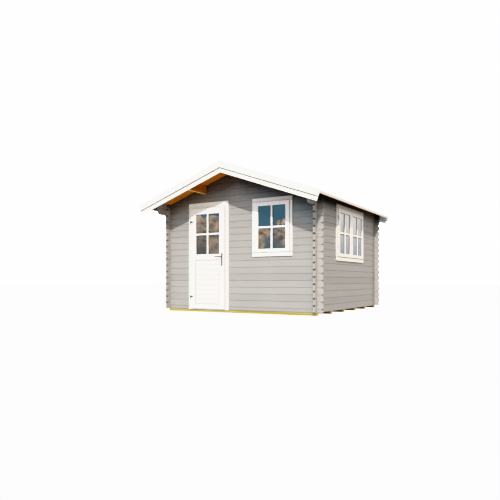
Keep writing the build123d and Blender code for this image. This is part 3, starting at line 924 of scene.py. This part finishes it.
def billows(place, slant):
    """Cloud noise, turned in the wall's plane and then scaled, so that its banks run at a slant."""
    stretch = tuple(1 / value for value in cloud_scale)
    sockets = {"Vector": place, "Rotation": slant, "Scale": stretch}
    moved = place.node("ShaderNodeMapping", sockets, vector_type="TEXTURE")
    return moved.node("ShaderNodeTexNoise", {"Vector": moved, "Scale": 1.0, "Detail": 3.5, "Roughness": 0.5})


def puff(x, z, ragged, middle, half):
    """A small cloud by itself: an oval with a ragged edge."""
    across, up = (x - middle[0]) / half[0], (z - middle[1]) / half[1]
    return spread(across * across + up * up + ragged * 3.0, 0.6, 1.0, 0.9, 0.0)


def glass_finish(name, slant, light_side, sky, wisp, cloud, cloud_top, softness):
    """Panes with a painted reflection of a sky over banked clouds, glowing by emission, under a clear gloss.
    """
    material, shader, place = new_finish(name)
    x, _, z = place.axes()
    cover = billows(place, slant)
    nearer = place.node("ShaderNodeVectorMath", {0: place, 1: light_side}, operation="ADD")
    relief = cover - billows(nearer, slant)
    ragged = noise(place, 16.0, 3.0, 0.6) - 0.5

    # Cloud covers the sky in a slanting bank, open at the window's head and foot and above the door's crest.
    in_window = (x > 0.0) * (x < window_end)
    bank = z + x * 0.3 + (cover - 0.5) * 1.1 - in_window * 0.13
    banked = spread(bank, cloud_top + softness, cloud_top - softness) * (1.0 - in_window * (z > window_bar))
    gap_line = z + (x - 0.7).most(0.0) * 0.6 + ragged * 0.12
    gap_start = x + ragged * 0.12 - (1.27 - z) * 0.3
    gap = spread(gap_line, 1.31, 1.26) * spread(gap_start, 0.5, 0.57) * in_window
    banked = banked * (1.0 - gap * 0.85)
    crest = pane_high.z - 0.044 - (x + 0.51) * (x + 0.51) * 1.7 + ragged * 0.03
    over_crest = spread(z - crest, 0.0, 0.012) * spread(x, -0.7, -0.66) * (x < 0.0)
    banked = banked * (1.0 - over_crest)
    puffs = puff(x, z, ragged, (0.82, 1.522), (0.05, 0.048))
    puffs = puffs.most(puff(x, z, ragged, (0.91, 1.528), (0.05, 0.052)))

    # Painted reflection: sky behind, with wisps; cloud with painted light from one side, rosy in the puffs
    # and dark at the door's foot.
    clear = blend(spread(z, 1.35, 1.85), *sky)
    clear = blend(spread(cover, 0.48, 0.66, 0.0, 0.7), clear, wisp)
    clear = blend(gap * 0.6, clear, srgb(88, 96, 92))
    lit = blend(spread(relief, -0.08, 0.08), *cloud)
    rosy = blend(spread(ragged, -0.1, 0.12), srgb(232, 196, 172), srgb(150, 120, 104))
    lit = blend(puffs * 0.9, lit, rosy)
    foot = spread(z, 1.15, door_bar, 1.0, 0.3) * (z < door_bar) * spread(x, -0.66, -0.56, 0.95, 0.4)
    lit = blend(foot * (x < 0.0), lit, cloud[0])
    # The painted reflection glows: its colour feeds the emission.
    feed(shader, "Emission Color", blend(banked.most(puffs), clear, lit))
    smear = noise(place, (5.0, 5.0, 3.0), 4.0, 0.6)
    feed(shader, "Base Color", blend(spread(smear, 0.35, 0.7), srgb(16, 22, 26), srgb(22, 30, 34)))
    feed(shader, "Roughness", spread(smear, 0.4, 0.8, 0.012, 0.05))
    shader.inputs["Emission Strength"].default_value = 0.85
    shader.inputs["IOR"].default_value = 1.45
    bump(shader, smear, 0.04, 0.002)
    return material


front_glass = glass_finish(
    "front_glass", slant=(0.0, radians(38), 0.0), light_side=(-0.03, 0.0, 0.04),
    sky=(srgb(72, 108, 126), srgb(60, 95, 112)), wisp=srgb(74, 108, 124),
    cloud=(srgb(92, 88, 84), srgb(196, 168, 138)), cloud_top=1.63, softness=0.02,
)
repaint(front_glass, "door_glass", "front_window_glass")
side_glass = glass_finish(
    "side_glass", slant=(radians(82), 0.0, 0.0), light_side=(0.0, 0.02, 0.01),
    sky=(srgb(198, 200, 202), srgb(210, 209, 207)), wisp=srgb(158, 146, 130),
    cloud=(srgb(92, 118, 150), srgb(150, 160, 172)), cloud_top=1.62, softness=0.26,
)
repaint(side_glass, "side_window_glass")


# Door hinges
# Two strap hinges hang on gudgeon pins at the left of the door.
# They are steel, coated black, with a domed screw in each hole.

def coated_steel(name, base, light, roughness, metallic):
    """Coated or plated metal: fine orange-peel relief and a slightly uneven sheen."""
    material, shader, place = new_finish(name)
    peel = noise(place, 420.0, 2.0, 0.5)
    rub = noise(place, 40.0, 3.0, 0.6)
    feed(shader, "Base Color", blend(spread(rub, 0.45, 0.75), base, light))
    feed(shader, "Roughness", spread(peel, 0.3, 0.7, roughness - 0.07, roughness + 0.09))
    shader.inputs["Metallic"].default_value = metallic
    bump(shader, peel, 0.2, 0.0004)
    return material


black_steel = coated_steel("black_coated_steel", srgb(92, 92, 94), srgb(118, 118, 120), 0.45, 0.3)
repaint(black_steel, "door_hinge_straps", "door_hinge_pins")
strap_low, strap_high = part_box("door_hinge_straps")
knuckle_half = 0.023
hinge_levels = (strap_low.z + knuckle_half, strap_high.z - knuckle_half)
strap_face = 0.054
screw_insets = (0.01, 0.028)
screw_size = {"Radius": 0.0042, "Height": 0.0016}
strap_screws = [
    on_front(strap_high.x - inset, level, strap_face) for level in hinge_levels for inset in screw_insets
]
facing_front = (pi / 2, 0.0, 0.0)
studs.grow(
    "hinge_screws", "door", "black_steel", strap_screws, Facing=facing_front, Material=black_steel,
    **screw_size,
)


# Door handle
# A long plate on each face carries lever handles on one spindle, with a lock cylinder below.
# They are zinc castings, plated to a satin nickel.

satin_nickel = coated_steel("satin_nickel_plate", srgb(160, 161, 165), srgb(178, 179, 183), 0.42, 1.0)
# Painted shade: the levers' nickel is a darker copy of the plates' nickel.
lever_shaded_nickel = coated_steel("satin_nickel_lever_shaded", srgb(78, 80, 84), srgb(100, 102, 106), 0.42, 1.0)
repaint(satin_nickel, "door_handle_plates")
plate_low, plate_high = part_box("door_handle_plates")
plate_middle = (plate_low.x + plate_high.x) / 2
plate_out, plate_in = standing("door_handle_plates")
lever_low, lever_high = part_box("door_lever")
spindle_height = (lever_low.z + lever_high.z) / 2
grip_half = (lever_high.z - lever_low.z) / 2
grip_sides = 18
elbow_radius = 0.012
elbow_steps = 6
lever_reach = standing("door_lever")[0] - plate_out
grip_axis = lever_reach - 0.006


def lever_rings():
    """Stations along a lever: along the door, out from the plate, half height, half depth and heading."""
    found = [(0.0, 0.0, 0.0086, 0.0086, 0.0), (0.0, 0.018, 0.0078, 0.0078, 0.0)]
    for step in range(elbow_steps + 1):
        turn = pi / 2 * step / elbow_steps
        share = step / elbow_steps
        along = elbow_radius * (1 - cos(turn))
        out = grip_axis - elbow_radius + elbow_radius * sin(turn)
        found.append((along, out, 0.0078 + 0.001 * share, 0.0076 - 0.0018 * share, turn))
    reach = plate_middle - lever_low.x
    for back, height, depth in (
        (0.085, 0.0082, 0.0056), (0.045, 0.0084, 0.0056), (0.012, grip_half, 0.006), (0.005, 0.0084, 0.0054),
        (0.0015, 0.0062, 0.0038), (0.0, 0.0034, 0.002),
    ):
        found.append((reach - back, grip_axis, height, depth, pi / 2))
    return found


def lever_grip(mesh, plate_face, direction):
    """A rounded lever that leaves its plate square, turns an elbow and runs along the door."""
    loops = []
    for along, out, height, depth, heading in lever_rings():
        loop = []
        for side in range(grip_sides):
            turn = 2 * pi * side / grip_sides
            shift = depth * cos(turn)
            x = plate_middle - along - shift * cos(heading)
            z = spindle_height + height * sin(turn)
            reach = out + shift * sin(heading)
            loop.append(mesh.verts.new(on_front(x, z, plate_face + direction * reach)))
        loops.append(loop[::direction])
    skin(mesh, loops)


def turned_boss(mesh, centre, profile):
    """A round boss on the door: (radius, distance out) points turned about a centre, closed at both ends."""
    sides = 24
    turns = [2 * pi * side / sides for side in range(sides)]
    loops = []
    for radius, out in profile:
        points = [on_front(centre[0] + radius * cos(t), centre[1] + radius * sin(t), out) for t in turns]
        loops.append([mesh.verts.new(point) for point in points])
    skin(mesh, loops)


levers = bmesh.new()
lever_grip(levers, plate_out, 1)
lever_grip(levers, plate_in, -1)
lever_pair = mesh_piece("lever_handles", levers, lever_shaded_nickel, "lever", wound=True)
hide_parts("door_lever")
lock_height = spindle_height - 0.1
lock_radius = 0.0085
lock_tail = 0.0045
lock_rise = 0.0032
keyway_half = 0.0008
tail_foot, tail_top = lock_height - 0.022, lock_height - lock_radius * 0.8
tail = (plate_middle - lock_tail, plate_middle + lock_tail, tail_foot, tail_top)
slit = (plate_middle - keyway_half, plate_middle + keyway_half, lock_height - 0.006, lock_height + 0.004)
bosses = (
    (spindle_height, ((0.0125, 0.0), (0.0125, 0.0015), (0.011, 0.0025), (0.0088, 0.0025))),
    (lock_height, ((lock_radius, 0.0), (lock_radius, 0.0025), (lock_radius - 0.001, lock_rise))),
)
roses = bmesh.new()
keyways = bmesh.new()
for face, step in ((plate_out, 1), (plate_in, -1)):
    for height, profile in bosses:
        turned_boss(roses, (plate_middle, height), [(radius, face + step * out) for radius, out in profile])
    block(roses, on_front, tail, face, face + step * lock_rise, 0.0007)
    block(keyways, on_front, slit, face + step * 0.003, face + step * 0.0036, 0.0001)
mesh_piece("lock_cylinders", roses, satin_nickel, "door")
# The keyway is a dark sliver on each cylinder, a painted shade standing for the slot.
keyway_painted_shade = coated_steel("keyway_painted_shade", srgb(26, 26, 28), srgb(40, 40, 42), 0.5, 0.4)
mesh_piece("lock_keyways", keyways, keyway_painted_shade, "door")
plate_levels = (plate_low.z + 0.014, plate_high.z - 0.014)
for face, side, facing in ((plate_out, "outside", facing_front), (plate_in, "inside", (-pi / 2, 0.0, 0.0))):
    plate_screws = [on_front(plate_middle, level, face) for level in plate_levels]
    studs.grow(
        f"handle_screws_{side}", "door", "satin_nickel", plate_screws, Facing=facing, Material=satin_nickel,
        **screw_size,
    )


# Windows
# Cased frames grip the logs, and each sash is set against its stop and hung on small hinges.
# They are spruce, painted white, with beads and a cross of bars in each sash.

front_sash_low, front_sash_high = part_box("front_window_sash")
side_sash_low, side_sash_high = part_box("side_window_sashes")
sash_gap = 0.004
front_head = front_sash_high.z + sash_gap
# Painted shade lines on the casings beside the gaps round each sash.
front_gap_shade = (
    (2, front_sash_low.z - sash_gap, 0.8), (2, front_head, 0.5), (0, front_sash_high.x + sash_gap, 0.5),
)
side_gap_shade = ((2, side_sash_low.z - sash_gap, 0.9), (2, side_sash_high.z + sash_gap, 0.5))
front_paint = trim_paint("front_window_paint", "X", white, white_shade, lines=front_gap_shade)
# The side window's white is warmer than the front window's, a painted shade colour.
side_paint = trim_paint("side_window_paint", "Y", srgb(251, 244, 236), srgb(242, 230, 219), lines=side_gap_shade)
eave_soffit = ridge_soffit - half_width * roof_fall
# Painted shade on the side window's casing, close under the eave.
tint(side_paint, srgb(84, 62, 42), lambda x, y, z: spread(eave_soffit - z, 0.05, 0.16, 0.85, 0.0))
# Painted shade on the front window's head, darker towards the right.
tint(
    front_paint, srgb(140, 146, 142),
    lambda x, y, z: (z > front_head) * spread(x, front_sash_low.x, front_sash_high.x, 0.1, 0.5),
)
repaint(front_paint, "front_window_frame")
repaint(upright_paint, "front_window_sash")
repaint(side_paint, "side_window_frame", "side_window_sashes")
casing_shadow = 0.012


def shade_below(logs, node, wall_axis, outside):
    """A thin line of shade on the outside of the logs, under the foot of a window's casing."""
    low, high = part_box(node)

    def share(*point):
        along, z = point[wall_axis], point[2]
        beside = (along > low[wall_axis]) * (along < high[wall_axis])
        return beside * outside(*point) * (z < low.z + 0.002) * (z > low.z - casing_shadow) * 0.6

    tint(logs, srgb(70, 67, 64), share)


shade_below(front_logs, "front_window_frame", 0, lambda x, y, z: y < 0.0)
shade_below(side_logs, "side_window_frame", 1, lambda x, y, z: x > 0.0)


def pane_boxes(node, wall_axis):
    """The edges along the wall and up of each pane in a node, from its loose shells."""
    shells = bmesh.new()
    shells.from_mesh(cad[node].data)
    bmesh.ops.remove_doubles(shells, verts=shells.verts, dist=1e-5)
    left = set(shells.verts)
    found = []
    while left:
        shell = {left.pop()}
        fringe = set(shell)
        while fringe:
            fringe = {edge.other_vert(v) for v in fringe for edge in v.link_edges} & left
            left -= fringe
            shell |= fringe
        along = [v.co[wall_axis] for v in shell]
        up = [v.co.z for v in shell]
        found.append((min(along), max(along), min(up), max(up)))
    shells.free()
    return sorted(found)


# The weather seal's dark brown darkens the gap round each sash, partly as painted shade.
seal_shade_rubber = rubber_finish("brown_seal_shade_rubber", srgb(92, 78, 66), srgb(120, 104, 90))
seal_setback = 0.012
sash_out, sash_in = standing("front_window_sash")
seal_out = sash_out - seal_setback
seal_profile = [(0.0, sash_in), (-sash_gap, sash_in), (-sash_gap, seal_out), (0.0, seal_out)]


def dress_window(name, wall, wall_axis, glass, faces, sash_edges, paint, strips, meeting=False):
    """A window's bars, gasket strips and weather seal, with a seal between two sashes where they meet; the
    brown of the strips and seal stands partly as painted shade.
    """
    bars, gasket_shade_beds, seal = bmesh.new(), bmesh.new(), bmesh.new()
    for edges in pane_boxes(f"{name}_glass", wall_axis):
        glazing(bars, wall, edges, glass, faces)
        gasket_shade_strips(gasket_shade_beds, wall, edges, glass[0], strips)
    mesh_piece(f"{name}_bars", bars, paint, "cabin")
    mesh_piece(f"{name}_gaskets", gasket_shade_beds, gasket_shade_rubber, "cabin")
    ring(seal, wall, sash_edges, seal_profile)
    if meeting:
        left, right, low, high = sash_edges
        middle = (left + right) / 2
        joint = (middle - sash_gap / 2, middle + sash_gap / 2, low, high)
        block(seal, wall, joint, sash_in, seal_out, 0.0005)
    mesh_piece(f"{name}_seal", seal, seal_shade_rubber, "cabin")


dress_window(
    "front_window", on_front, 0, standing("front_window_glass"), (sash_out, sash_in),
    (front_sash_low.x, front_sash_high.x, front_sash_low.z, front_sash_high.z), upright_paint, front_strips,
)
side_pane_low, side_pane_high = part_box("side_window_glass")
side_strips = (0.01, 0.03, 0.004, 0.012)
dress_window(
    "side_window", on_right, 1, (side_pane_high.x - half_width, side_pane_low.x - half_width),
    (side_sash_high.x - half_width, side_sash_low.x - half_width),
    (side_sash_low.y, side_sash_high.y, side_sash_low.z, side_sash_high.z), side_paint, side_strips,
    meeting=True,
)


def knuckle_tree():
    """Butt hinge barrels on loose points: three knuckles on a pin with a tip at each end."""
    tree = Tree("hinge_barrels", {"Radius": "Float", "Height": "Float", "Material": "Material"})
    get = tree.inputs
    start = tree.start
    third = get["Height"] / 3
    knuckle_size = {"Vertices": 14, "Radius": get["Radius"], "Depth": third * 0.94}
    knuckle = start.node("GeometryNodeMeshCylinder", knuckle_size)
    low = start.node("ShaderNodeCombineXYZ", {2: third * -1.0})
    step = start.node("ShaderNodeCombineXYZ", {2: third})
    line = start.node("GeometryNodeMeshLine", {"Count": 3, "Start Location": low, "Offset": step})
    barrel = start.node("GeometryNodeInstanceOnPoints", {"Points": line, "Instance": knuckle})
    pin_size = {"Vertices": 10, "Radius": get["Radius"] * 0.6, "Depth": get["Height"] * 1.1}
    pin = start.node("GeometryNodeMeshCylinder", pin_size)
    whole = start.node("GeometryNodeJoinGeometry", {})
    for part in (barrel, pin):
        tree.group.links.new(part.socket, whole.socket.node.inputs[0])
    points = start.node("GeometryNodeMeshToPoints", {"Mesh": start})
    tree.end(start.node("GeometryNodeInstanceOnPoints", {"Points": points, "Instance": whole}))
    return tree


barrels = knuckle_tree()
barrel_radius = 0.005
barrel_height = 0.06
barrel_share = 0.2
barrel_out = sash_out + barrel_radius * 0.6


def hinge_heights(low, high):
    """A hinge near each end of a sash's stile."""
    return [low + share * (high - low) for share in (barrel_share, 1 - barrel_share)]


front_levels = hinge_heights(front_sash_low.z, front_sash_high.z)
side_levels = hinge_heights(side_sash_low.z, side_sash_high.z)
hinge_places = [on_front(front_sash_low.x - sash_gap / 2, level, barrel_out) for level in front_levels]
for edge in (side_sash_low.y - sash_gap / 2, side_sash_high.y + sash_gap / 2):
    hinge_places += [on_right(edge, level, barrel_out) for level in side_levels]
barrels.grow(
    "window_hinges", "cabin", None, hinge_places, Radius=barrel_radius, Height=barrel_height, Material=zinc,
)


# Studio
# A white floor that glows, with a painted shadow under the shed, and a sun and a soft white surround.
# The camera stands near the ground, in front and to the right of the door.

ground = bpy.data.meshes.new("studio_floor")
reach = 60.0
corners = [(-reach, -reach, 0), (reach, -reach, 0), (reach, reach, 0), (-reach, reach, 0)]
ground.from_pydata(corners, [], [(0, 1, 2, 3)])
floor_piece = bpy.data.objects.new("studio_floor", ground)
bpy.context.scene.collection.objects.link(floor_piece)
floor_piece.visible_diffuse = False
floor_piece.visible_glossy = False
floor_finish, floor_shader, floor_place = new_finish("studio_floor_paint")
floor_tone = noise(floor_place, 0.6, 2.0, 0.5)
feed(floor_shader, "Base Color", blend(floor_tone, srgb(138, 138, 138), srgb(142, 142, 142)))
floor_shader.inputs["Roughness"].default_value = 0.9
floor_x, floor_y, _ = floor_place.axes()
past_side = abs(floor_x) - half_width
past_end = abs(floor_y - (front_y + back_y) / 2) - (back_y - front_y) / 2
# Painted shadow on the floor under the shed.
shed_painted_shadow = spread(past_side.most(past_end), -0.3, -0.12, 1.0, 0.0)
white_light = (1.0, 1.0, 1.0, 1.0)
feed(floor_shader, "Emission Color", blend(shed_painted_shadow, white_light, (0.012, 0.01, 0.008, 1.0)))
floor_shader.inputs["Emission Strength"].default_value = 3.0
ground.materials.append(floor_finish)

sun_strength = 3.65
sun_towards = Vector((0.262, -0.52, 0.42))
sun_data = bpy.data.lights.new("sun", "SUN")
sun_data.energy = sun_strength
sun_data.angle = radians(1.0)
sun_data.color = (1.0, 0.965, 0.91)
sun = bpy.data.objects.new("sun", sun_data)
sun.rotation_euler = sun_towards.to_track_quat("Z", "Y").to_euler()
bpy.context.scene.collection.objects.link(sun)

world = bpy.data.worlds.new("studio")
world.use_nodes = True
background = world.node_tree.nodes["Background"]
dome = Wire(world.node_tree, world.node_tree.nodes.new("ShaderNodeTexCoord").outputs["Generated"])
dome_right, dome_front, dome_height = dome.axes()
seen = dome.node("ShaderNodeLightPath", {})
dome_side = spread(dome_right + dome_front, -0.6, 0.6)
dome_colour = blend(dome_side, (0.93, 0.985, 1.04, 1.0), (1.0, 0.985, 0.96, 1.0))
feed(background, "Color", blend(seen, dome_colour, white_light))
dome_light = spread(dome_height, 0.0, 1.0, 0.81, 1.88)
feed(background, "Strength", dome_light + seen * 8.0)
bpy.context.scene.world = world
bpy.context.scene.view_settings.view_transform = "Khronos PBR Neutral"

camera_data = bpy.data.cameras.new("camera")
camera_data.sensor_width = 36.0
camera_data.lens = 36.87
camera_data.shift_x = -0.0275
camera_data.shift_y = 0.0617
camera_data.clip_end = 200.0
camera = bpy.data.objects.new("camera", camera_data)
camera.location = (4.7571, front_y - 7.4585, 0.5598)
camera.rotation_euler = (pi / 2, 0.0, 0.5155)
bpy.context.scene.collection.objects.link(camera)
bpy.context.scene.camera = camera
